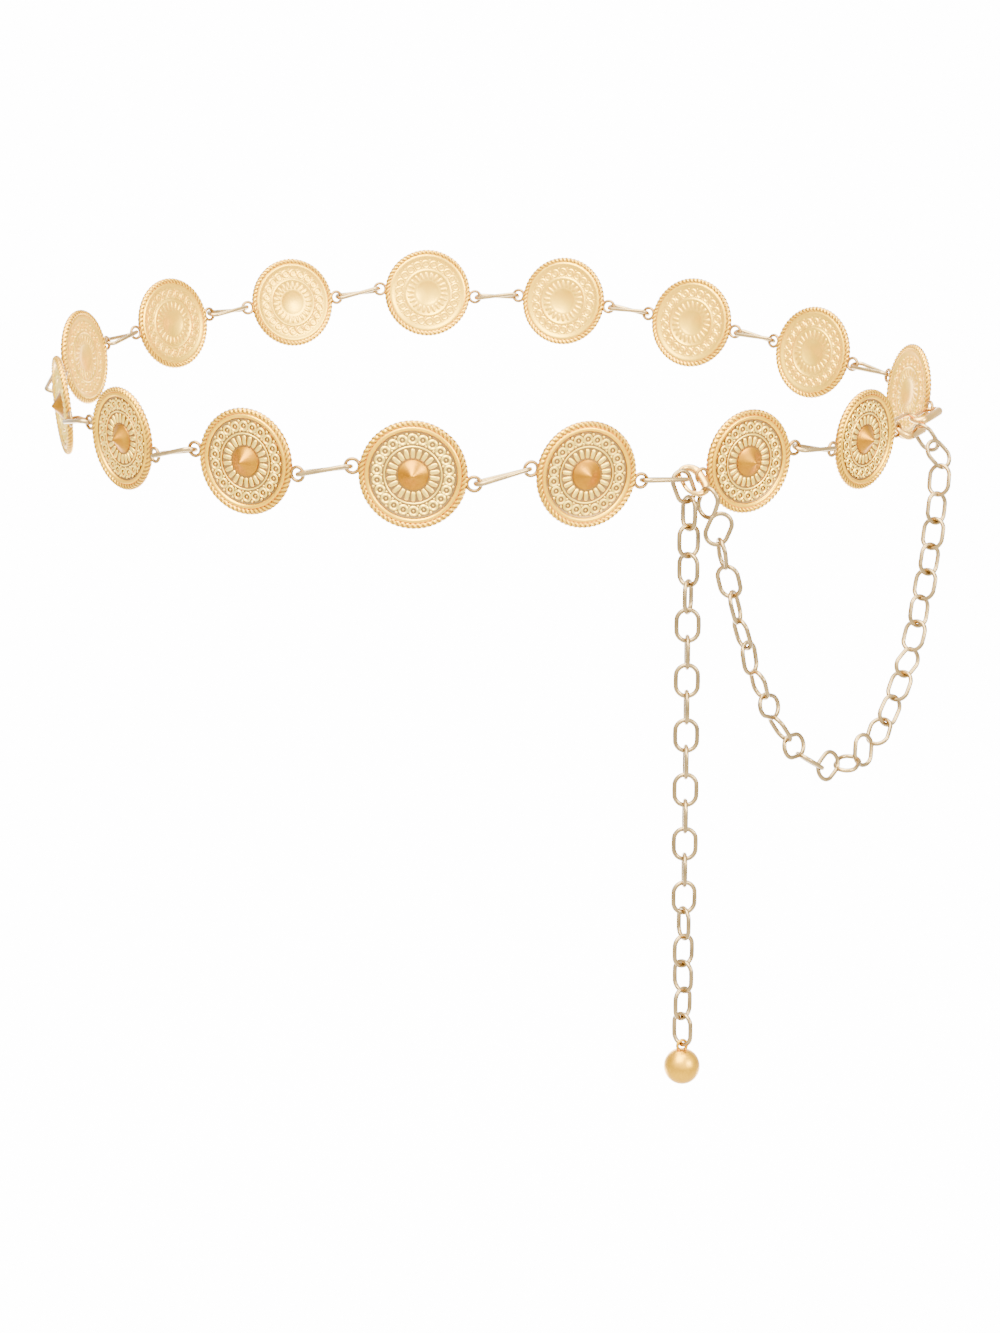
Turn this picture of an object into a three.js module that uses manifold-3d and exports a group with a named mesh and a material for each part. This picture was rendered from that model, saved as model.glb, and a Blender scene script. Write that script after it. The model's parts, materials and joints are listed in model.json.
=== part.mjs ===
// Chain belt of round medallions, worn round the hips, with a swag chain and a hanging tail chain.
// Millimetres, +Z up. The front of the belt is to -Y and the left hip is to +X.
// The origin is the middle of the ring, where the hips hold the belt.
import * as THREE from 'three';
import { mergeVertices } from 'three/addons/utils/BufferGeometryUtils.js';
import Module from 'manifold-3d';

const wasm = await Module();
wasm.setup();

// Ring that the belt makes round the hips
const HALF_WIDTH = 169;
const HALF_DEPTH = 137;
const ROUNDNESS = 1.7;
const LEFT_HIP_FULLNESS = 0.043;
const BACK_RISE = 26.5;
const LEFT_DROP = 4;
const SIDE_DIP = 3.5;

// Medallions, counted from the left hip across the front and round the back. Each leans out at its
// top, and the rolls are the degrees by which some hang turned in their own plane.
const COIN_COUNT = 15;
const FIRST_COIN_ANGLE = THREE.MathUtils.degToRad(-27);
const COIN_STEP = 61.5;
const FRONT_STEP = 67;
const FRONT_COIN = 2;
const COIN_LEAN = THREE.MathUtils.degToRad(5);
const COIN_ROLLS = { 2: 8, 3: -8, 4: -6, 5: -6, 6: -7, 11: 6 };
const COIN_RADIUS = 19;
const COIN_SEGMENTS = 24;
const RIM_INNER_RADIUS = 15.3;
const RIM_HALF_THICKNESS = 1.1;
const RIM_BEVEL = 1;
const RIM_BACK_BEVEL = 0.7;
const RIM_SLOPE = 0.8;
const FIELD_FRONT = 0.2;
const CONE_RADIUS = 4.9;
const CONE_HEIGHT = 4;
const HOLLOW_RADIUS = 4.6;
const HOLLOW_DEPTH = 1.3;

// Loops on the medallions, and the long oval connectors that join them
const LOOP_DIAMETER = 6.2;
const LOOP_WIRE = 1.3;
const LOOP_BITE = 0.9;
const CONNECTOR_WIDTH = 7.6;
const CONNECTOR_WIRE = 1.4;
const CONNECTOR_PLAY = 0.7;
const CONNECTOR_TURN = THREE.MathUtils.degToRad(3);

// Chain links, and how far the centres of two crossing wires lie apart
const LINK_WIDTH = 9.3;
const LINK_WIRE = 1.3;
const LINK_PITCH = 10.1;
const CLEARANCE = 0.4;
const FREE_CROSSING = LINK_WIRE + CLEARANCE;
const FUSED_CROSSING = 0.9;
const WIRE_SIDES = 5;
const LINK_STEPS = 8;
const RING_STEPS = 12;

// Joints that open: the ring that carries the tail, and the slanted rings that close the belt
const FRONT_RING_LENGTH = 13;
const FRONT_RING_WIDTH = 8.6;
const FRONT_RING_TILT = THREE.MathUtils.degToRad(24);
const FRONT_RING_OUT = -0.5;
const FRONT_RING_BACK = 0.8;
const FRONT_RING_DROP = 2.6;
const HOOK_WIRE = 1.3;
const HOOK_CLEARANCE = 0.5;
const STRAND_GAP = 1.2;
const CLASP = { ringLength: 13.9, setback: 1.5, slopeDegrees: 45, sag: 1.1 };
const SIDE_RING = { ringLength: 10.4, setback: 0.3, slopeDegrees: 42, sag: 0.3 };

// Swag chain, which lies on the hip between the side joint and the front joint
const SWAG_LINKS = 28;
const SWAG_BOW = 10;
const SWAG_BOW_FULLNESS = 0.4;
const SWAG_FIRST_DROP = 3;
const SWAG_END_SHIFT = 1.7;
const SWAG_END_RISE = 1.4;
const SWAG_SAMPLES = 400;
const SWAG_TIGHTEST = 5000;
const SWAG_LOOSEST = 12;
const SWAG_TURN = THREE.MathUtils.degToRad(12);
const SWAG_END_TWIST = THREE.MathUtils.degToRad(78);
const SWAG_TWISTED_LINKS = 5;

// Tail chain and its ball. The turns are those of the first and the last few links.
const TAIL_LINKS = 20;
const TAIL_TOP_TURN = THREE.MathUtils.degToRad(-61);
const TAIL_TOP_EASE = 3;
const TAIL_END_TURN = THREE.MathUtils.degToRad(45);
const TAIL_END_START = 13;
const TAIL_END_FULL = 17;
const BALL_DIAMETER = 12.4;
const BALL_SEGMENTS = 16;
const BALL_RINGS = 10;
const BALL_BITE = 0.7;
const EYE_DIAMETER = 5.1;
const EYE_WIRE = 1.2;

// Searches halve their range this many times, and a curve's direction is taken over this small angle
const HALVINGS = 60;
const SMALL_ANGLE = 0.002;

const UP = new THREE.Vector3(0, 0, 1);
const DOWN = new THREE.Vector3(0, 0, -1);
const COIN_GOLD = { color: 0xecc98c, metalness: 1, roughness: 0.36 };
const CHAIN_GOLD = { color: 0xd9b47c, metalness: 1, roughness: 0.3 };

const belt = new THREE.Group();

// Solids

function toSolid(geometry) {
  const bare = geometry.clone();
  bare.deleteAttribute('normal');
  bare.deleteAttribute('uv');
  const merged = mergeVertices(bare, 1e-4);
  const vertProperties = new Float32Array(merged.attributes.position.array);
  const triVerts = new Uint32Array(merged.index.array);
  return new wasm.Manifold(new wasm.Mesh({ numProp: 3, vertProperties, triVerts }));
}

function fuse(geometries) {
  const [first, ...others] = geometries.map(toSolid);
  const joined = others.reduce((whole, piece) => whole.add(piece), first).getMesh();
  const geometry = new THREE.BufferGeometry();
  geometry.setAttribute('position', new THREE.BufferAttribute(joined.vertProperties, 3));
  geometry.setIndex(new THREE.BufferAttribute(joined.triVerts, 1));
  geometry.computeVertexNormals();
  return geometry;
}

function addPiece(name, geometries, finish) {
  const mesh = new THREE.Mesh(fuse(geometries), new THREE.MeshStandardMaterial(finish));
  mesh.name = name;
  belt.add(mesh);
}

function numbered(number) {
  return String(number).padStart(2, '0');
}

// A frame whose X runs along a piece, whose Y runs across it and whose origin is its middle
function frameAlong(middle, along, across) {
  const normal = along.clone().cross(across).normalize();
  const trueAcross = normal.clone().cross(along).normalize();
  return new THREE.Matrix4().makeBasis(along.clone().normalize(), trueAcross, normal).setPosition(middle);
}

// A round wire bent to an oval that lies in the XY plane, with its length along X
function ovalRing(length, width, wire, steps) {
  const radius = (width - wire) / 2 / Math.cos(Math.PI / steps);
  const ring = new THREE.TorusGeometry(radius, wire / 2, WIRE_SIDES, steps);
  ring.rotateZ(Math.PI / steps);
  const points = ring.attributes.position;
  for (let i = 0; i < points.count; i++) {
    points.setX(i, points.getX(i) + Math.sign(points.getX(i)) * (length - width) / 2);
  }
  return ring;
}

// Ring of the belt

function beltPoint(angle) {
  const c = Math.cos(angle);
  const s = Math.sin(angle);
  const fullness = 1 + LEFT_HIP_FULLNESS * Math.cos(3 * angle);
  return new THREE.Vector3(
    HALF_WIDTH * fullness * Math.sign(c) * Math.abs(c) ** (2 / ROUNDNESS),
    HALF_DEPTH * fullness * Math.sign(s) * Math.abs(s) ** (2 / ROUNDNESS),
    BACK_RISE * s - LEFT_DROP * c - SIDE_DIP * Math.cos(2 * angle),
  );
}

// The next angle round the ring at which a point lies one step away in a straight line
function nextAngle(angle, step) {
  const from = beltPoint(angle);
  let near = 0;
  let far = 1;
  for (let halving = 0; halving < HALVINGS; halving++) {
    const middle = (near + far) / 2;
    if (beltPoint(angle - middle).distanceTo(from) < step) near = middle;
    else far = middle;
  }
  return angle - far;
}

// Where a medallion sits: its middle, and its directions along the belt, up and out
function coinSeat(angle) {
  const middle = beltPoint(angle);
  const along = beltPoint(angle - SMALL_ANGLE).sub(beltPoint(angle + SMALL_ANGLE)).normalize();
  const out = UP.clone().cross(along).normalize().applyAxisAngle(along, -COIN_LEAN);
  const up = along.clone().cross(out);
  return { middle, along, out, up };
}

// Turns a seat in its own plane
function roll(seat, angle) {
  seat.along.applyAxisAngle(seat.out, angle);
  seat.up.applyAxisAngle(seat.out, angle);
}

function coinSeats() {
  const seats = [];
  let angle = FIRST_COIN_ANGLE;
  for (let number = 1; number <= COIN_COUNT; number++) {
    seats.push(coinSeat(angle));
    angle = nextAngle(angle, number === FRONT_COIN ? FRONT_STEP : COIN_STEP);
  }
  for (const [number, degrees] of Object.entries(COIN_ROLLS)) {
    roll(seats[number - 1], THREE.MathUtils.degToRad(degrees));
  }
  return seats;
}

// A medallion's loops. Side is 1 for the loop ahead along the belt and -1 for the one behind.
const LOOP_RADIUS = (LOOP_DIAMETER - LOOP_WIRE) / 2;
const LOOP_CENTRE = COIN_RADIUS - LOOP_BITE + LOOP_DIAMETER / 2;
const LOOP_REACH = LOOP_CENTRE + LOOP_RADIUS;

function loopCentre(seat, side) {
  return seat.middle.clone().addScaledVector(seat.along, side * LOOP_CENTRE);
}

// Where two loops pull on each other: the middle of each wire on the side that faces the other loop
function pulledWires(seat, side, otherSeat) {
  const centres = [loopCentre(seat, side), loopCentre(otherSeat, -side)];
  return [seat, otherSeat].map(({ out }, index) => {
    const pull = centres[1 - index].clone().sub(centres[index]);
    pull.addScaledVector(out, -pull.dot(out)).normalize();
    return centres[index].clone().addScaledVector(pull, LOOP_RADIUS);
  });
}

// Medallion: a thick rim, a thin field and a pointed cone with a shallow hollow behind
function coinGeometries(seat) {
  const back = -RIM_HALF_THICKNESS;
  const profile = [
    [0, back + HOLLOW_DEPTH],
    [HOLLOW_RADIUS, back],
    [COIN_RADIUS - RIM_BACK_BEVEL, back],
    [COIN_RADIUS, 0],
    [COIN_RADIUS - RIM_BEVEL, RIM_HALF_THICKNESS],
    [RIM_INNER_RADIUS + RIM_SLOPE, RIM_HALF_THICKNESS],
    [RIM_INNER_RADIUS, FIELD_FRONT],
    [CONE_RADIUS, FIELD_FRONT],
    [0, FIELD_FRONT + CONE_HEIGHT],
  ];
  const points = profile.map(([radius, height]) => new THREE.Vector2(radius, height));
  const disc = new THREE.LatheGeometry(points, COIN_SEGMENTS).rotateX(Math.PI / 2);
  const place = new THREE.Matrix4().makeBasis(seat.along.clone().negate(), seat.up, seat.out);
  place.setPosition(seat.middle);
  const loops = [-1, 1].map((side) => {
    const loop = new THREE.TorusGeometry(LOOP_RADIUS, LOOP_WIRE / 2, WIRE_SIDES, LINK_STEPS);
    return loop.translate(side * LOOP_CENTRE, 0, 0);
  });
  return [disc, ...loops].map((piece) => piece.applyMatrix4(place));
}

// Connector: a long oval that lies nearly flat, round the wires at both of its ends
const CONNECTOR_GRIP = LOOP_WIRE / 2 + CONNECTOR_PLAY + CONNECTOR_WIRE;
const CONNECTOR_LENGTH = COIN_STEP - 2 * LOOP_REACH + 2 * CONNECTOR_GRIP;

function connectorGeometry(middle, along, out, length) {
  const across = out.clone().setLength(Math.cos(CONNECTOR_TURN));
  across.addScaledVector(DOWN, Math.sin(CONNECTOR_TURN));
  const oval = ovalRing(length, CONNECTOR_WIDTH, CONNECTOR_WIRE, LINK_STEPS);
  return oval.applyMatrix4(frameAlong(middle, along, across));
}

function addPlainConnector(number, seat, nextSeat) {
  const [from, to] = pulledWires(seat, 1, nextSeat);
  const along = to.clone().sub(from);
  const length = along.length() + 2 * CONNECTOR_GRIP;
  const middle = from.clone().lerp(to, 0.5);
  const out = seat.out.clone().add(nextSeat.out);
  const connector = connectorGeometry(middle, along.normalize(), out, length);
  addPiece(`connector_${numbered(number)}`, [connector], CHAIN_GOLD);
}

// A joint that opens: a connector hangs on one medallion's loop and sags a little, and a slanted ring
// goes from its free end to the other medallion's loop. A chain hangs on the ring's low end.
function openJoint(connectorSeat, connectorSide, ringSeat, { ringLength, setback, slopeDegrees, sag }) {
  const [connectorWire, ringWire] = pulledWires(connectorSeat, connectorSide, ringSeat);
  const straight = ringWire.clone().sub(connectorWire).normalize();
  const along = straight.multiplyScalar(CONNECTOR_LENGTH).addScaledVector(DOWN, sag).normalize();
  const out = along.clone().cross(UP).normalize();
  if (out.dot(connectorWire) < 0) out.negate();
  const connectorMiddle = connectorWire.clone()
    .addScaledVector(along, CONNECTOR_LENGTH / 2 - CONNECTOR_GRIP);
  const endWire = connectorWire.clone()
    .addScaledVector(along, CONNECTOR_LENGTH - CONNECTOR_GRIP - CONNECTOR_WIRE / 2);
  const nearStrand = endWire.clone()
    .addScaledVector(along, -(CONNECTOR_WIRE + HOOK_WIRE) / 2 - STRAND_GAP);
  const intoLoop = ((LOOP_WIRE + HOOK_WIRE) / 2 + HOOK_CLEARANCE) / LOOP_RADIUS;
  const farStrand = ringWire.clone().lerp(loopCentre(ringSeat, -connectorSide), intoLoop);
  const across = farStrand.clone().sub(nearStrand).normalize();
  const angle = THREE.MathUtils.degToRad(slopeDegrees);
  const slope = out.clone().multiplyScalar(Math.cos(angle)).addScaledVector(DOWN, Math.sin(angle));
  slope.addScaledVector(across, -slope.dot(across)).normalize();
  const ringMiddle = nearStrand.clone().lerp(farStrand, 0.5).addScaledVector(slope, setback);
  const ringWidth = nearStrand.distanceTo(farStrand) + HOOK_WIRE;
  const lowWire = ringMiddle.clone().addScaledVector(slope, (ringLength - HOOK_WIRE) / 2);
  return { along, across, out, slope, connectorMiddle, endWire, ringMiddle, ringWidth, ringLength, lowWire };
}

function slantedRing(joint) {
  const { ringMiddle, ringLength, ringWidth, slope, across } = joint;
  const long = Math.max(ringLength, ringWidth);
  const short = Math.min(ringLength, ringWidth);
  const [lengthways, sideways] = ringLength >= ringWidth ? [slope, across] : [across, slope];
  const oval = ovalRing(long, short, HOOK_WIRE, RING_STEPS);
  return oval.applyMatrix4(frameAlong(ringMiddle, lengthways, sideways));
}

// Chains

// One link between two points of a chain. The crossings say how loosely it holds its neighbours.
function chainLink(from, to, across, crossingBefore, crossingAfter) {
  const along = to.clone().sub(from).normalize();
  const start = from.clone().addScaledVector(along, -crossingBefore / 2);
  const end = to.clone().addScaledVector(along, crossingAfter / 2);
  const middle = start.clone().lerp(end, 0.5);
  const oval = ovalRing(start.distanceTo(end) + LINK_WIRE, LINK_WIDTH, LINK_WIRE, LINK_STEPS);
  return oval.applyMatrix4(frameAlong(middle, along, across));
}

// A chain whose links are fused in pairs. Links before the first pair stand alone.
function addChain(name, joints, acrossOf, loneLinks) {
  const count = joints.length - 1;
  const isFused = (joint) => joint > loneLinks && joint < count && (joint - loneLinks) % 2 === 1;
  const crossing = (joint) => (isFused(joint) ? FUSED_CROSSING : FREE_CROSSING);
  let pieces = [];
  let label = name;
  for (let link = 0; link < count; link++) {
    const [from, to] = [joints[link], joints[link + 1]];
    pieces.push(chainLink(from, to, acrossOf(link), crossing(link), crossing(link + 1)));
    label += `_${numbered(link + 1)}`;
    if (isFused(link + 1)) continue;
    addPiece(label, pieces, CHAIN_GOLD);
    pieces = [];
    label = name;
  }
}

// Points at equal lengths of chain along a bowed catenary between two points
function swagJoints(start, end, links, out) {
  const span = Math.hypot(end.x - start.x, end.y - start.y);
  const rise = end.z - start.z;
  const curveFor = (slack) => {
    const half = slack * Math.asinh(rise / (2 * slack * Math.sinh(span / (2 * slack))));
    const lowest = span / 2 - half;
    const height = (s) => slack * Math.cosh((s - lowest) / slack);
    const points = [];
    for (let i = 0; i <= SWAG_SAMPLES; i++) {
      const share = i / SWAG_SAMPLES;
      const bow = SWAG_BOW * Math.sin(Math.PI * share) ** SWAG_BOW_FULLNESS;
      const point = start.clone().lerp(end, share).addScaledVector(out, bow);
      point.z = start.z + height(share * span) - height(0);
      points.push(point);
    }
    return points;
  };
  const lengthOf = (points) => points.slice(1).reduce((sum, p, i) => sum + p.distanceTo(points[i]), 0);
  let tight = SWAG_TIGHTEST;
  let loose = SWAG_LOOSEST;
  for (let halving = 0; halving < HALVINGS; halving++) {
    const middle = (tight + loose) / 2;
    if (lengthOf(curveFor(middle)) < links * LINK_PITCH) tight = middle;
    else loose = middle;
  }
  const points = curveFor(loose);
  const joints = [start.clone()];
  let walked = 0;
  for (let i = 1; i <= SWAG_SAMPLES; i++) {
    walked += points[i].distanceTo(points[i - 1]);
    if (walked >= joints.length * LINK_PITCH) joints.push(points[i].clone());
  }
  if (joints.length <= links) joints.push(end.clone());
  return joints;
}

// The ring of medallions and plain connectors
const seats = coinSeats();
const sideJoint = openJoint(seats[COIN_COUNT - 1], 1, seats[0], SIDE_RING);
const frontJoint = openJoint(seats[FRONT_COIN], -1, seats[FRONT_COIN - 1], CLASP);

seats.forEach((seat, index) => addPiece(`coin_${numbered(index + 1)}`, coinGeometries(seat), COIN_GOLD));
for (let number = 1; number < COIN_COUNT; number++) {
  if (number !== FRONT_COIN) addPlainConnector(number, seats[number - 1], seats[number]);
}

// The two joints that open
function addOpenJoint(number, joint, ringName) {
  const { connectorMiddle, along, out } = joint;
  const connector = connectorGeometry(connectorMiddle, along, out, CONNECTOR_LENGTH);
  addPiece(`connector_${numbered(number)}`, [connector], CHAIN_GOLD);
  addPiece(ringName, [slantedRing(joint)], CHAIN_GOLD);
}

addOpenJoint(FRONT_COIN, frontJoint, 'clasp_front');
addOpenJoint(COIN_COUNT, sideJoint, 'ring_side');

// Front ring, which hangs on the end of the front connector and leans across the front
const tiltedDown = DOWN.clone().multiplyScalar(Math.cos(FRONT_RING_TILT))
  .addScaledVector(frontJoint.along, Math.sin(FRONT_RING_TILT));
const frontRingMiddle = frontJoint.endWire.clone()
  .addScaledVector(frontJoint.out, FRONT_RING_OUT)
  .addScaledVector(frontJoint.along, -FRONT_RING_BACK)
  .addScaledVector(DOWN, FRONT_RING_DROP);
const frontRing = ovalRing(FRONT_RING_LENGTH, FRONT_RING_WIDTH, LINK_WIRE, RING_STEPS);
const frontRingPlace = frameAlong(frontRingMiddle, tiltedDown, frontJoint.along);
addPiece('ring_front', [frontRing.applyMatrix4(frontRingPlace)], CHAIN_GOLD);

// Tail chain, straight down from the low end of the front ring
const frontRingLowWire = frontRingMiddle.clone()
  .addScaledVector(tiltedDown, (FRONT_RING_LENGTH - LINK_WIRE) / 2);
const tailJoints = [];
for (let link = 0; link <= TAIL_LINKS; link++) {
  tailJoints.push(frontRingLowWire.clone().addScaledVector(DOWN, link * LINK_PITCH - FREE_CROSSING / 2));
}

function tailAcross(link) {
  const atTop = THREE.MathUtils.clamp((TAIL_TOP_EASE + 1 - link) / TAIL_TOP_EASE, 0, 1);
  const atEnd = THREE.MathUtils.clamp((link - TAIL_END_START) / (TAIL_END_FULL - TAIL_END_START), 0, 1);
  const turn = link * Math.PI / 2 + atTop * TAIL_TOP_TURN + atEnd * TAIL_END_TURN;
  return new THREE.Vector3(Math.cos(turn), Math.sin(turn), 0);
}

addChain('tail', tailJoints, tailAcross, 1);

// Ball and its eye, on the last link
const lastWire = tailJoints[TAIL_LINKS].clone().addScaledVector(DOWN, FREE_CROSSING / 2);
const eyeRadius = (EYE_DIAMETER - EYE_WIRE) / 2;
const eyeDrop = eyeRadius - (LINK_WIRE + EYE_WIRE) / 2 - CLEARANCE;
const eyeMiddle = lastWire.clone().addScaledVector(DOWN, eyeDrop);
const eye = new THREE.TorusGeometry(eyeRadius, EYE_WIRE / 2, WIRE_SIDES, RING_STEPS);
eye.applyMatrix4(frameAlong(eyeMiddle, DOWN, tailAcross(TAIL_LINKS)));
const ball = new THREE.SphereGeometry(BALL_DIAMETER / 2, BALL_SEGMENTS, BALL_RINGS).rotateX(Math.PI / 2);
ball.translate(eyeMiddle.x, eyeMiddle.y, eyeMiddle.z - (EYE_DIAMETER + BALL_DIAMETER) / 2 + BALL_BITE);
addPiece('ball', [ball, eye], COIN_GOLD);

// Swag chain. Its first link lies outward on the hip, and the rest hangs as a catenary.
const swagOut = new THREE.Vector3(frontJoint.lowWire.y - sideJoint.lowWire.y,
  sideJoint.lowWire.x - frontJoint.lowWire.x, 0).normalize();
if (swagOut.dot(sideJoint.lowWire) < 0) swagOut.negate();
const firstAlong = sideJoint.out.clone().multiplyScalar(LINK_PITCH).addScaledVector(DOWN, SWAG_FIRST_DROP);
firstAlong.normalize();
const swagStart = sideJoint.lowWire.clone().addScaledVector(firstAlong, -FREE_CROSSING / 2);
const catenaryStart = swagStart.clone().addScaledVector(firstAlong, LINK_PITCH);
const swagEnd = frontJoint.lowWire.clone()
  .addScaledVector(frontJoint.across, SWAG_END_SHIFT)
  .addScaledVector(UP, SWAG_END_RISE);
const swagPoints = [swagStart, ...swagJoints(catenaryStart, swagEnd, SWAG_LINKS - 1, swagOut)];

function swagAcross(link) {
  const along = swagPoints[link + 1].clone().sub(swagPoints[link]).normalize();
  const edgeways = link % 2 === 0;
  const side = along.clone().cross(swagOut).normalize();
  const turn = edgeways ? Math.PI / 2 - SWAG_TURN : SWAG_TURN;
  const atEnd = Math.max(0, (link + 1 - SWAG_LINKS) / SWAG_TWISTED_LINKS + 1);
  return side.applyAxisAngle(along, turn + atEnd * SWAG_END_TWIST);
}

addChain('swag', swagPoints, swagAcross, 0);

export default belt;
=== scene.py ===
"""Looks of a chain belt: ornamented medallions, oval connectors, a swag chain and a tail chain."""

import json
import math

import bmesh
import bpy
import numpy as np
from mathutils import Matrix, Vector

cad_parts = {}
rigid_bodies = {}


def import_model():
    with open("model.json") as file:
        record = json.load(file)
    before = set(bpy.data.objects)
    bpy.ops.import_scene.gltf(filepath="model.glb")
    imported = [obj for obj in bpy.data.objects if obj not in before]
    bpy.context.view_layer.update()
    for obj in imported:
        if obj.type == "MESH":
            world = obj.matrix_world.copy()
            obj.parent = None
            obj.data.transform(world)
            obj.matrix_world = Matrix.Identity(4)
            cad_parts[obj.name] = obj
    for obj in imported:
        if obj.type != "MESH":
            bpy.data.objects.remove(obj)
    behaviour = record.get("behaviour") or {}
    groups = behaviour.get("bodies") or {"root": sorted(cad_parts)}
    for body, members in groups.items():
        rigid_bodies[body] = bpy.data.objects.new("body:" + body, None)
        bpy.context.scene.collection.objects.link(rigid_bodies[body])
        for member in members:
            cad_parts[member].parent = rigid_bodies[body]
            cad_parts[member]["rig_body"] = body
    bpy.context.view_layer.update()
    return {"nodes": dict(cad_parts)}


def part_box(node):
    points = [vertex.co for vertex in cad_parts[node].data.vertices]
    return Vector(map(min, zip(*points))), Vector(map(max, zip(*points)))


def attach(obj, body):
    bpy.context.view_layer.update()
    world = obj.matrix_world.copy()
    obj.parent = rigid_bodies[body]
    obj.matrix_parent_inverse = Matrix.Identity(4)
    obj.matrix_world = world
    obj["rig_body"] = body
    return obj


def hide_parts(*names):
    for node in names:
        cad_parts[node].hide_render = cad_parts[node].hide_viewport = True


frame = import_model()

MM = 0.001
SHARP_ANGLE = math.radians(38)

# Medallion, in millimetres. The outlines are radius and height, from the middle to the rim and back.
COIN_RADIUS = 19.0
COIN_BACK = 1.1
DISC_STEPS = 96
CONE_EDGE = 5.3
FIELD_EDGE = 15.1
ROPE_EDGE = 17.0
COIN_EDGE = 19.2
PROFILE_FRONT = [
    (0, 4.2), (0.5, 4.0), (1.3, 3.3), (2.7, 2.1), (4.1, 1.05), (4.9, 0.6), (5.2, 0.45), (5.35, 0.1),
    (6.5, 0.02), (9.2, 0.02), (9.55, 0.05), (9.7, 0.5), (9.95, 0.64), (10.2, 0.5), (10.35, 0.05),
    (11.2, 0.0), (13.8, 0.0), (14.95, 0.0), (15.2, 0.1), (15.4, 0.6), (15.8, 0.95), (16.3, 1.05),
    (16.8, 0.8), (17.0, 0.4), (17.8, 0.1),
]
PROFILE_BACK = [
    (17.8, -0.5), (17.0, -0.6), (16.6, -0.9), (15.9, -0.95), (15.3, -0.6), (13.8, -0.45), (11.2, -0.45),
    (10.3, -0.5), (10.05, -0.7), (9.8, -0.7), (9.55, -0.5), (6.5, -0.45), (5.3, -0.55), (4.9, -0.4),
    (4.0, -0.2), (2.6, 0.05), (1.2, 0.2), (0.3, 0.25), (0, 0.25),
]

# Rope rim
ROPE_RADIUS = 17.85
ROPE_HALF_WIDTH = 1.18
ROPE_HALF_HEIGHT = 1.25
ROPE_RIDGES = 62
ROPE_STEPS_PER_RIDGE = 5
ROPE_SIDES = 12
ROPE_SLANT = 3
ROPE_GROOVE_SIZE = 0.62
ROPE_RIDGE_SIZE = 0.4

# Band of small circles with a dot in each, a dot between each two at both edges, and the petals.
# Beads are half sizes along the radius, round the medallion and through it.
FACES = {"front": (1, 0.22), "back": (-1, -0.3)}
CIRCLE_COUNT = 22
CIRCLE_BAND_RADIUS = 12.6
CIRCLE_RADIUS = 1.45
CIRCLE_WIRE = 0.95
CIRCLE_STEPS = 14
CIRCLE_SIDES = 6
CIRCLE_DOT = (0.45, 0.45, 0.34)
OUTER_DOT = (0.55, 0.6, 0.36)
OUTER_DOT_SHIFT = 1.75
INNER_DOT = (0.5, 0.5, 0.36)
INNER_DOT_SHIFT = -1.65
DOT_DETAIL = 6
PETAL_COUNT = 22
PETAL_RADIUS = 7.5
PETAL = (1.85, 0.82, 0.55)
PETAL_SINK = 0.1
PETAL_DETAIL = 10
PETAL_FULLNESS = 0.6

# Loops of the medallions and the eye of the ball
LOOP_WIRE = 1.3
LOOP_DIAMETER = 6.2
LOOP_BITE = 0.9
LOOP_STEPS = 24
LOOP_SIDES = 10
BALL_DIAMETER = 13.4
BALL_DROP = 0.4
BALL_DETAIL = 32
EYE_DIAMETER = 5.1
EYE_WIRE = 1.2

# Chain links and connectors, in millimetres. The wires are thicker than the solids' by the growth.
LINK_LENGTH = 12.7
LINK_WIDTH = 9.3
LINK_WIRE = 1.7
LINK_GROWTH = 0.4
CONNECTOR_WIRE = 1.7
WIRE_STEPS = 36
WIRE_SIDES = 12
CROSSING_REACH = 1.6
# How far each connector's outer side is raised and one end turned against the other, in degrees
CONNECTOR_TURNS = {"02": (6, 4), "03": (11, 14), "04": (10, 12), "05": (8, 18), "06": (6, 30), "07": (2, 30)}
USUAL_TURNS = (5, 36)

# Clasps: a thick body on the outer side, a thin gate on the other, and the gate's lever
CLASPS = ("clasp_front", "connector_15", "ring_side")
CLASP_STEPS = 48
CLASP_GATE = 0.9
CLASP_BODY = 1.1
CLASP_TAPER = 1.5
LEVER = (0.9, 0.75, 0.6)
LEVER_SHARE = -0.18
LEVER_REACH = 0.5
LEVER_LIFT = 0.2
LEVER_DETAIL = 10

# Tones run from the ground of the relief (0) over the cone and the rim to the ornament (1). This ramp is
# painted shade: the ground and hollows are darker and the raised ornament is lighter.
COIN_TONES = [(0.34, 0.2, 0.06, 1), (0.42, 0.17, 0.004, 1), (1, 0.56, 0.015, 1), (1, 0.69, 0.1, 1)]
# The chain's tones are a browner gold, darkened further as painted shade for the dark edges of its wires.
CHAIN_TONES = [(0.11, 0.08, 0.045, 1), (0.5, 0.33, 0.12, 1), (0.95, 0.5, 0.06, 1)]
GROUND_STOP = 0.1
# The loops take the chain's low tone: browner gold and partly painted shade.
LOOP_TONE = 0.08
# The cone's lower, more orange tone is a painted darker reflection of the surroundings.
CONE_TONE = 0.33
RIDGE_TONE = 0.62
# The rim's tone is painted shade: darker in the grooves between strands and on its outer edge.
ROPE_TONE = 0.66
BACK_TONE = 0.7
BALL_TONE = 0.46
# Link and connector tones are kept low, partly as painted shade for the dark wire edges.
LINK_TONE = 0.16
CONNECTOR_TONE = 0.26
CLASP_TONE = 0.54

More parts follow.
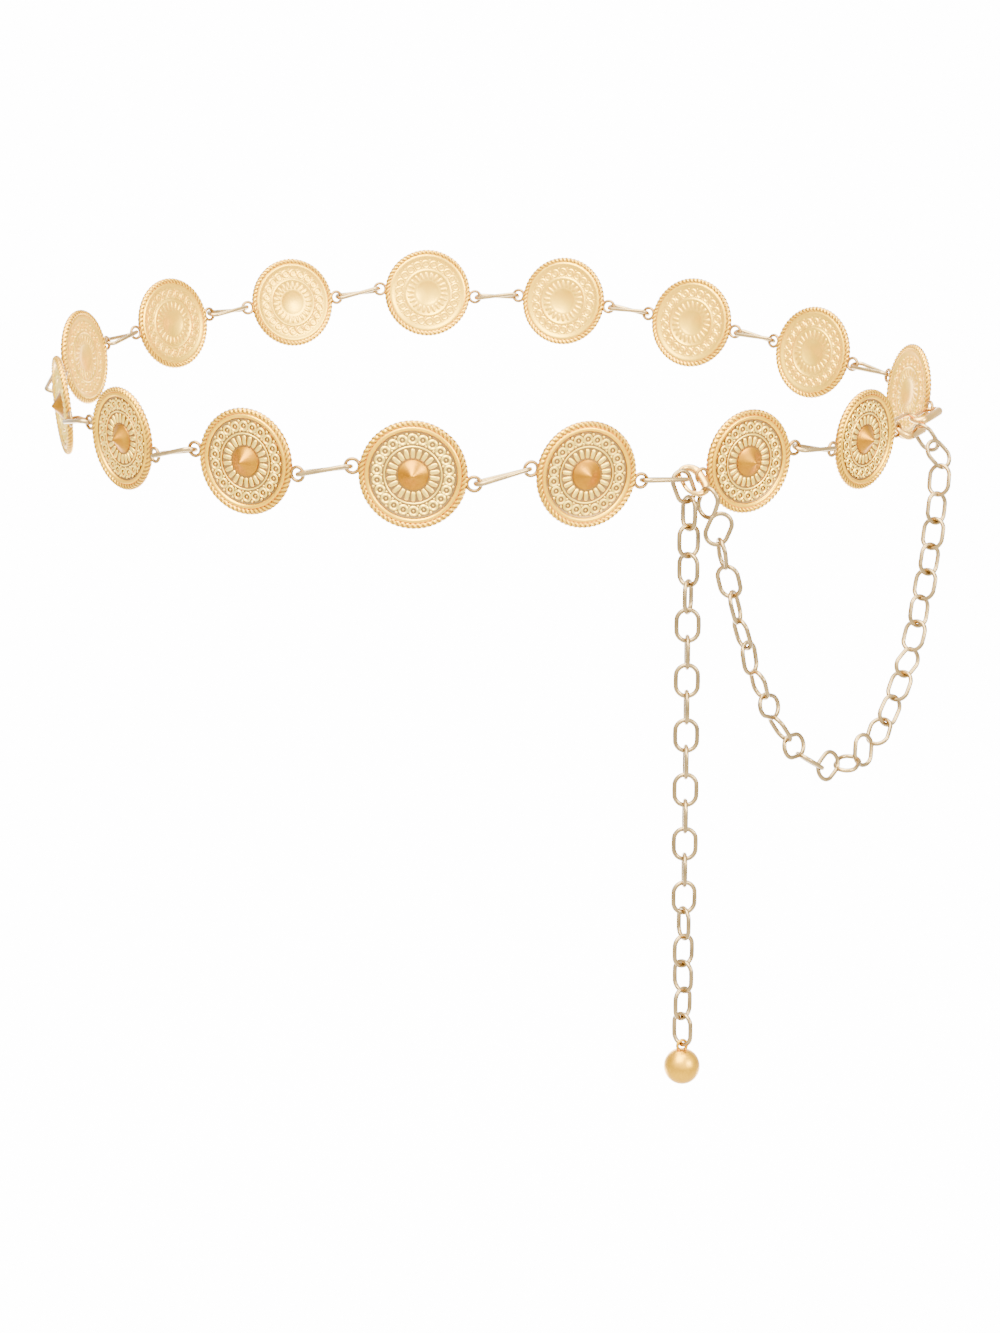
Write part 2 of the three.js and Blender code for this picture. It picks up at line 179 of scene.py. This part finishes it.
# Plain pale studio, in metres. The glow's edges are the places where it ends and where it is full.
FLOOR_HEIGHT = -0.9
FLOOR_REACH = 15
SWEEP_START = 1.6
SWEEP_RADIUS = 1.2
SWEEP_STEPS = 12
SWEEP_TOP = 4
PAPER = (0.42, 0.42, 0.42, 1)
FLOOR_GLOW = 0.4
BACKDROP_GLOW = 12
GLOW_EDGES = {"X": (1.5, 0.95), "Y": (0.3, 1), "Z": (1.1, 0.5)}
WHITE = (1, 1, 1, 1)
SKY_TOWARDS = (0, -0.8, 0.6)
SKY_FULL = 0.95
SKY_DIM = 1.6
SKY_BRIGHT = 4.4

# Camera, at the photo's viewing angle
FOCAL_PIXELS = 2571
IMAGE_HEIGHT = 1333
SENSOR_WIDTH = 36
CAMERA_PLACE = (0.0116, -1.0187, 0.0703)
CAMERA_PITCH = 10.26


# Objects and the nodes they stand for


def new_object(name, bm, material):
    """Turns a bmesh in metres into an object with one material."""
    bmesh.ops.recalc_face_normals(bm, faces=bm.faces)
    mesh = bpy.data.meshes.new(name)
    bm.to_mesh(mesh)
    bm.free()
    mesh.materials.append(material)
    mesh.shade_smooth()
    mesh.set_sharp_from_angle(angle=SHARP_ANGLE)
    piece = bpy.data.objects.new(name, mesh)
    bpy.context.scene.collection.objects.link(piece)
    return piece


def stand_for(piece, node):
    """The piece takes the node's place and moves with its body."""
    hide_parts(node)
    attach(piece, frame["nodes"][node]["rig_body"])


# Where the solids lie


def points_of(node):
    """The node's own corners, each once, in millimetres."""
    corners = np.array([v.co for v in frame["nodes"][node].data.vertices]) / MM
    return np.unique(corners.round(4), axis=0)


def principal_axes(points):
    """The three axes along which the points spread most to least."""
    centred = points - points.mean(0)
    values, vectors = np.linalg.eigh(centred.T @ centred)
    return [vectors[:, i] for i in np.argsort(values)[::-1]]


def extent(points, axis):
    along = points @ axis
    return along.min(), along.max()


def midpoint(points, axes):
    """The middle of the points' extents along the axes, as one vector."""
    return sum(axis * sum(extent(points, axis)) / 2 for axis in axes)


def placed(middle, x_axis, y_axis, z_axis):
    """Matrix from a piece's own millimetres to the frame's metres."""
    turn = Matrix((x_axis, y_axis, z_axis)).transposed().to_4x4()
    return Matrix.Translation(Vector(middle) * MM) @ turn @ Matrix.Scale(MM, 4)


def coin_place(node):
    """Place of a medallion, with X along the belt, Y up and Z out of the face."""
    points = points_of(node)
    along, _, out = principal_axes(points)
    low, high = extent(points, out)
    if high - np.median(points @ out) < np.median(points @ out) - low:
        out = -out
        low, high = extent(points, out)
    up = np.cross(out, along)
    if up[2] < 0:
        along, up = -along, -up
    middle = midpoint(points, (along, up)) + out * (low + COIN_BACK)
    return placed(middle, along, up, out)


def oval_place(points):
    """Place of one oval, with its length along X, its width outward along Y and Z up, and both sizes."""
    long, wide, flat = principal_axes(points)
    middle = midpoint(points, (long, wide, flat))
    size = [extent(points, axis)[1] - extent(points, axis)[0] for axis in (long, wide)]
    if wide[0] * middle[0] + wide[1] * middle[1] < 0:
        wide = -wide
    if flat[2] < 0:
        flat = -flat
    return placed(middle, np.cross(wide, flat), wide, flat), size


def pair_places(node):
    """Places of the two crossing links that one solid joins."""
    points = points_of(node)
    direction = principal_axes(points)[0]
    along = points @ direction
    centre = (along.min() + along.max()) / 2
    places = []
    for sign in (-1, 1):
        half = points[(along - centre) * sign > CROSSING_REACH]
        axes = principal_axes(half)
        flat = axes[2]
        long = max(axes[:2], key=lambda axis: abs(axis @ direction))
        if (long @ direction) * sign < 0:
            long = -long
        wide = np.cross(flat, long)
        middle = long * (extent(half, long)[1] - LINK_LENGTH / 2) + midpoint(half, (wide, flat))
        places.append(placed(middle, long, wide, flat))
    return places


# Shapes, all in millimetres until they are placed


def spun(bm, steps):
    """The bmesh's outline turned a full turn about Z."""
    bmesh.ops.spin(
        bm, geom=bm.verts[:] + bm.edges[:], cent=(0, 0, 0), axis=(0, 0, 1),
        angle=2 * math.pi, steps=steps, use_merge=True,
    )
    bmesh.ops.remove_doubles(bm, verts=bm.verts, dist=1e-4)
    return bm


def ring(radius, wire, steps, sides):
    """A round wire bent to a ring in the XY plane."""
    bm = bmesh.new()
    turn = Matrix.Translation((radius, 0, 0)) @ Matrix.Rotation(math.pi / 2, 4, "X")
    bmesh.ops.create_circle(bm, segments=sides, radius=wire / 2, cap_ends=False, matrix=turn)
    return spun(bm, steps)


def oval(length, width, wire, steps=WIRE_STEPS, sides=WIRE_SIDES):
    """A round wire bent to an oval with its length along X."""
    bm = ring((width - wire) / 2, wire, steps, sides)
    for vert in bm.verts:
        if abs(vert.co.x) > 1e-5:
            vert.co.x += math.copysign((length - width) / 2, vert.co.x)
    return bm


def merge_into(whole, part, matrix=Matrix.Identity(4)):
    """Moves one bmesh into another."""
    bmesh.ops.transform(part, matrix=matrix, verts=part.verts)
    mesh = bpy.data.meshes.new("part")
    part.to_mesh(mesh)
    part.free()
    whole.from_mesh(mesh)
    bpy.data.meshes.remove(mesh)


def round_about(whole, make, count, offset=0.0):
    """Repeats a part round Z."""
    for number in range(count):
        merge_into(whole, make(), Matrix.Rotation((number + offset) * 2 * math.pi / count, 4, "Z"))


def bead(centre, size, detail=8, fullness=1.0):
    """An ellipsoid with the given half sizes, squarer in plan the smaller its fullness power is."""
    bm = bmesh.new()
    bmesh.ops.create_uvsphere(bm, u_segments=detail, v_segments=max(6, detail - 2), radius=1)
    for vert in bm.verts:
        for axis in (0, 1):
            vert.co[axis] = math.copysign(abs(vert.co[axis]) ** fullness, vert.co[axis])
    turn = Matrix.Translation(centre) @ Matrix.Diagonal((*size, 1))
    bmesh.ops.transform(bm, matrix=turn, verts=bm.verts)
    return bm


def connector(length, width, raised, twist):
    """A long oval with its outer side raised and with a slight twist, both in degrees."""
    bm = oval(length, width, CONNECTOR_WIRE)
    for vert in bm.verts:
        turn = math.radians(raised - twist * vert.co.x / length)
        vert.co = Matrix.Rotation(turn, 3, "X") @ vert.co
    return bm


def clasp(length, width):
    """A spring clasp: a hook with a thick body, a thin gate and the gate's small lever."""
    bm = oval(length, width, LINK_WIRE, CLASP_STEPS)
    radius = (width - LINK_WIRE) / 2
    stretch = (length - width) / 2
    for vert in bm.verts:
        x, y, z = vert.co
        shift = math.copysign(stretch, x) if abs(x) > 1e-5 else 0
        across = math.hypot(x - shift, y)
        body = (1 + y / radius) / 2
        thickness = CLASP_GATE + CLASP_BODY * min(1, max(0, body)) ** CLASP_TAPER
        away = (radius + (across - radius) * thickness) / across
        vert.co = ((x - shift) * away + shift, y * away, z * thickness)
    middle = (length * LEVER_SHARE, -radius - LEVER_REACH, LEVER_LIFT)
    merge_into(bm, bead(middle, LEVER, LEVER_DETAIL))
    return bm


def disc():
    """The medallion's body, spun from its outline."""
    bm = bmesh.new()
    verts = [bm.verts.new((radius, 0, height)) for radius, height in PROFILE_FRONT + PROFILE_BACK]
    for first, second in zip(verts, verts[1:]):
        bm.edges.new((first, second))
    return spun(bm, DISC_STEPS)


def rope_ridge(point):
    """How far out of the groove between two strands of the rim a point lies, 0 to 1."""
    radius = math.hypot(point.x, point.y)
    side = math.atan2(point.z, radius - ROPE_RADIUS)
    around = math.atan2(point.y, point.x)
    return abs(math.cos((ROPE_RIDGES * around + ROPE_SLANT * side) / 2)) ** 0.7


def rope():
    """The rim, a ring of strands twisted together."""
    bm = ring(ROPE_RADIUS, 2, ROPE_RIDGES * ROPE_STEPS_PER_RIDGE, ROPE_SIDES)
    for vert in bm.verts:
        around = math.atan2(vert.co.y, vert.co.x)
        side = math.atan2(vert.co.z, math.hypot(vert.co.x, vert.co.y) - ROPE_RADIUS)
        swell = ROPE_GROOVE_SIZE + ROPE_RIDGE_SIZE * rope_ridge(vert.co)
        radius = ROPE_RADIUS + math.cos(side) * ROPE_HALF_WIDTH * swell
        height = math.sin(side) * ROPE_HALF_HEIGHT * swell
        vert.co = (radius * math.cos(around), radius * math.sin(around), height)
    return bm


def rise(value, low, span):
    """0 at the low value, 1 at a span above it, and straight between them."""
    return min(1, max(0, (value - low) / span))


def painted_shade_tone_of(point):
    """The tone of a point of the medallion, with painted shade on the ground, at the ridge's foot, in the
    rim's grooves and on its outer edge, a painted darker reflection on the cone, and a lighter tone on the
    raised ornament.
    """
    radius = math.hypot(point.x, point.y)
    if radius > COIN_EDGE:
        return LOOP_TONE
    if radius > ROPE_EDGE:
        # painted shade in the rim's grooves and a painted dark outline on its outer edge
        return ROPE_TONE * rope_ridge(point) * (0.4 + 0.6 * rise(-radius, -19.3, 0.6))
    if point.z < -0.2 or (radius < CONE_EDGE and point.z < 0.4):
        return BACK_TONE
    # painted darker reflection on the cone
    if radius < CONE_EDGE:
        return CONE_TONE
    # painted shade: the foot of the ridge and the ground of the relief are darker, the raised ornament
    # lighter
    if radius > FIELD_EDGE:
        return RIDGE_TONE * rise(point.z, 0.1, 0.45)
    return rise(point.z, 0.05, 0.4)


def set_tone(bm, tone_at):
    """Writes a tone on each corner, for the finishes and the shade that they paint."""
    layer = bm.verts.layers.float.new("tone")
    for vert in bm.verts:
        vert[layer] = tone_at(vert.co)


def coin_mesh():
    """One medallion in its own millimetres, with a tone on each corner."""
    bm = disc()
    merge_into(bm, rope())
    band = CIRCLE_BAND_RADIUS
    for face, lift in FACES.values():
        def circle():
            part = ring(CIRCLE_RADIUS, CIRCLE_WIRE, CIRCLE_STEPS, CIRCLE_SIDES)
            bmesh.ops.translate(part, verts=part.verts, vec=(band, 0, lift))
            return part

        def dot(size, shift=0):
            return lambda: bead((band + shift, 0, lift), size, DOT_DETAIL)

        def petal():
            return bead((PETAL_RADIUS, 0, lift - PETAL_SINK * face), PETAL, PETAL_DETAIL, PETAL_FULLNESS)

        round_about(bm, circle, CIRCLE_COUNT)
        round_about(bm, dot(CIRCLE_DOT), CIRCLE_COUNT)
        round_about(bm, dot(OUTER_DOT, OUTER_DOT_SHIFT), CIRCLE_COUNT, 0.5)
        round_about(bm, dot(INNER_DOT, INNER_DOT_SHIFT), CIRCLE_COUNT, 0.5)
        round_about(bm, petal, PETAL_COUNT)
    loop_middle = COIN_RADIUS - LOOP_BITE + LOOP_DIAMETER / 2
    for side in (-1, 1):
        loop = ring((LOOP_DIAMETER - LOOP_WIRE) / 2, LOOP_WIRE, LOOP_STEPS, LOOP_SIDES)
        merge_into(bm, loop, Matrix.Translation((side * loop_middle, 0, 0)))
    set_tone(bm, painted_shade_tone_of)
    mesh = bpy.data.meshes.new("coin")
    bm.to_mesh(mesh)
    bm.free()
    return mesh


# Finishes


def noise(nodes, links, scale, detail):
    """A noise that lies on the piece, with features of the given number a metre."""
    place = nodes.new("ShaderNodeTexCoord")
    texture = nodes.new("ShaderNodeTexNoise")
    texture.inputs["Scale"].default_value = scale
    texture.inputs["Detail"].default_value = detail
    links.new(place.outputs["Object"], texture.inputs["Vector"])
    return texture


def gold(name, tones, roughness, mottling):
    """Satin plated metal with fine cast grain and faint mottling. The tones run from ground to raised and
    paint shade: darker on the ground, lighter on raised parts.
    """
    material = bpy.data.materials.new(name)
    material.use_nodes = True
    nodes, links = material.node_tree.nodes, material.node_tree.links
    shader = nodes["Principled BSDF"]
    shader.inputs["Metallic"].default_value = 1

    mottle = noise(nodes, links, 220, 3)
    ramp = nodes.new("ShaderNodeValToRGB")
    stops = ramp.color_ramp.elements
    stops[0].color = tones[0]
    stops[0].position = GROUND_STOP
    stops[1].color = tones[-1]
    stops[1].position = 1
    for number, tone in enumerate(tones[1:-1], 1):
        stops.new(GROUND_STOP + (1 - GROUND_STOP) * number / (len(tones) - 1)).color = tone
    tone = nodes.new("ShaderNodeAttribute")
    tone.attribute_name = "tone"
    mixed = nodes.new("ShaderNodeMath")
    mixed.operation = "MULTIPLY_ADD"
    links.new(mottle.outputs["Fac"], mixed.inputs[0])
    mixed.inputs[1].default_value = mottling
    links.new(tone.outputs["Fac"], mixed.inputs[2])
    links.new(mixed.outputs[0], ramp.inputs["Fac"])
    links.new(ramp.outputs["Color"], shader.inputs["Base Color"])

    rough = nodes.new("ShaderNodeMapRange")
    rough.inputs["To Min"].default_value = roughness * 0.85
    rough.inputs["To Max"].default_value = roughness * 1.2
    links.new(mottle.outputs["Fac"], rough.inputs["Value"])
    links.new(rough.outputs["Result"], shader.inputs["Roughness"])

    grain = noise(nodes, links, 1600, 2)
    bump = nodes.new("ShaderNodeBump")
    bump.inputs["Strength"].default_value = 0.12
    bump.inputs["Distance"].default_value = 0.0002
    links.new(grain.outputs["Fac"], bump.inputs["Height"])
    links.new(bump.outputs["Normal"], shader.inputs["Normal"])
    return material


def math_node(nodes, links, operation, *values):
    """A sum or other operation on sockets and numbers."""
    node = nodes.new("ShaderNodeMath")
    node.operation = operation
    for slot, value in zip(node.inputs, values):
        if isinstance(value, (int, float)):
            slot.default_value = value
        else:
            links.new(value, slot)
    return node.outputs[0]


def soft_step(nodes, links, value, limits, results=(0, 1)):
    """A smooth step between two limits of a value."""
    step = nodes.new("ShaderNodeMapRange")
    step.interpolation_type = "SMOOTHSTEP"
    step.inputs["From Min"].default_value, step.inputs["From Max"].default_value = limits
    step.inputs["To Min"].default_value, step.inputs["To Max"].default_value = results
    links.new(value, step.inputs["Value"])
    return step.outputs["Result"]


def backdrop_paper():
    """Matt paper that glows most behind the object, with soft edges to the sides, front and top."""
    paper = bpy.data.materials.new("paper")
    paper.use_nodes = True
    nodes, links = paper.node_tree.nodes, paper.node_tree.links
    shader = nodes["Principled BSDF"]
    shader.inputs["Base Color"].default_value = PAPER
    shader.inputs["Roughness"].default_value = 0.9
    shader.inputs["Emission Color"].default_value = WHITE
    place = nodes.new("ShaderNodeTexCoord")
    position = nodes.new("ShaderNodeSeparateXYZ")
    links.new(place.outputs["Object"], position.inputs["Vector"])
    aside = math_node(nodes, links, "ABSOLUTE", position.outputs["X"])
    distances = {"X": aside, "Y": position.outputs["Y"], "Z": position.outputs["Z"]}
    glow = BACKDROP_GLOW
    for axis, limits in GLOW_EDGES.items():
        share = soft_step(nodes, links, distances[axis], limits)
        glow = math_node(nodes, links, "MULTIPLY", share, glow)
    glow = math_node(nodes, links, "ADD", glow, FLOOR_GLOW)
    links.new(glow, shader.inputs["Emission Strength"])
    return paper


def backdrop_sweep():
    """A floor that curves up to a wall behind the object."""
    bm = bmesh.new()
    outline = [(-FLOOR_REACH, 0)]
    for angle in np.linspace(0, math.pi / 2, SWEEP_STEPS):
        outline.append((SWEEP_START + math.sin(angle) * SWEEP_RADIUS, (1 - math.cos(angle)) * SWEEP_RADIUS))
    outline.append((SWEEP_START + SWEEP_RADIUS, SWEEP_TOP))
    for half in (-FLOOR_REACH, FLOOR_REACH):
        row = [bm.verts.new((half, y, FLOOR_HEIGHT + z)) for y, z in outline]
        for first, second in zip(row, row[1:]):
            bm.edges.new((first, second))
    bmesh.ops.bridge_loops(bm, edges=bm.edges[:])
    return bm


def soft_sky():
    """White light from all round, brightest from the front and above."""
    world = bpy.data.worlds.new("studio")
    bpy.context.scene.world = world
    world.use_nodes = True
    nodes, links = world.node_tree.nodes, world.node_tree.links
    nodes["Background"].inputs["Color"].default_value = WHITE
    direction = nodes.new("ShaderNodeTexCoord")
    towards = nodes.new("ShaderNodeVectorMath")
    towards.operation = "DOT_PRODUCT"
    towards.inputs[1].default_value = SKY_TOWARDS
    links.new(direction.outputs["Generated"], towards.inputs[0])
    strength = soft_step(nodes, links, towards.outputs["Value"], (0, SKY_FULL), (SKY_DIM, SKY_BRIGHT))
    links.new(strength, nodes["Background"].inputs["Strength"])


def area_light(name, place, target, size, power):
    light = bpy.data.lights.new(name, "AREA")
    light.size = size
    light.energy = power
    lamp = bpy.data.objects.new(name, light)
    lamp.location = place
    lamp.rotation_euler = (Vector(target) - Vector(place)).to_track_quat("-Z", "Y").to_euler()
    bpy.context.scene.collection.objects.link(lamp)


coin_gold = gold("coin_gold", COIN_TONES, 0.34, 0.16)
chain_gold = gold("chain_gold", CHAIN_TONES, 0.24, 0.42)

# Medallions
coin = coin_mesh()
for node in sorted(frame["nodes"]):
    if node.startswith("coin"):
        bm = bmesh.new()
        bm.from_mesh(coin)
        bmesh.ops.transform(bm, matrix=coin_place(node), verts=bm.verts)
        stand_for(new_object(f"{node}_look", bm, coin_gold), node)
bpy.data.meshes.remove(coin)

# Connectors, clasps, rings and chain links
for node in sorted(frame["nodes"]):
    if node.startswith("coin") or node == "ball":
        continue
    whole = bmesh.new()
    # the chain's low tones are partly painted shade for the dark wire edges
    tone = LINK_TONE
    if node.count("_") == 2:
        for place in pair_places(node):
            link = oval(LINK_LENGTH + LINK_GROWTH, LINK_WIDTH + LINK_GROWTH, LINK_WIRE)
            merge_into(whole, link, place)
    else:
        place, (length, width) = oval_place(points_of(node))
        if node in CLASPS:
            part = clasp(length, width)
            tone = CLASP_TONE
        elif node.startswith("connector"):
            part = connector(length, width, *CONNECTOR_TURNS.get(node[-2:], USUAL_TURNS))
            tone = CONNECTOR_TONE
        else:
            part = oval(length + LINK_GROWTH, width + LINK_GROWTH, LINK_WIRE)
        merge_into(whole, part, place)
    set_tone(whole, lambda point: tone)
    stand_for(new_object(f"{node}_look", whole, chain_gold), node)

# Ball and its eye
low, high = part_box("ball")
ball_height = low.z + (BALL_DIAMETER / 2 - BALL_DROP) * MM
ball_middle = Vector(((low.x + high.x) / 2, (low.y + high.y) / 2, ball_height))
whole = bmesh.new()
turn = Matrix.Translation(ball_middle) @ Matrix.Scale(MM, 4)
merge_into(whole, bead((0, 0, 0), [BALL_DIAMETER / 2] * 3, BALL_DETAIL), turn)
ball_points = points_of("ball")
eye_points = ball_points[ball_points[:, 2] > high.z / MM - EYE_DIAMETER * 0.75]
_, eye_wide, _ = principal_axes(eye_points)
eye_across = Vector((eye_wide[0], eye_wide[1], 0)).normalized()
eye_middle = Vector((ball_middle.x, ball_middle.y, high.z - EYE_DIAMETER * MM / 2))
eye_flat = Vector((0, 0, 1)).cross(eye_across)
eye = ring((EYE_DIAMETER - EYE_WIRE) / 2, EYE_WIRE, LOOP_STEPS, LOOP_SIDES)
merge_into(whole, eye, placed(eye_middle / MM, eye_across, (0, 0, 1), -eye_flat))
set_tone(whole, lambda point: BALL_TONE)
stand_for(new_object("ball_look", whole, coin_gold), "ball")

# Studio, with each light's place, target, size and power
new_object("floor", backdrop_sweep(), backdrop_paper())
soft_sky()
area_light("key", (-0.5, -1.1, 1.6), (0, 0, -0.05), 1.5, 130)
area_light("fill", (1.3, -1.2, 0.6), (0, 0, -0.05), 0.7, 40)
area_light("top", (0, 0.1, 1.8), (0, 0, 0), 1.6, 110)

camera = bpy.data.objects.new("camera", bpy.data.cameras.new("camera"))
camera.data.sensor_width = SENSOR_WIDTH
camera.data.lens = FOCAL_PIXELS / IMAGE_HEIGHT * SENSOR_WIDTH
camera.data.clip_end = 50
camera.location = CAMERA_PLACE
camera.rotation_euler = (math.radians(90 - CAMERA_PITCH), 0, 0)
bpy.context.scene.collection.objects.link(camera)
bpy.context.scene.camera = camera
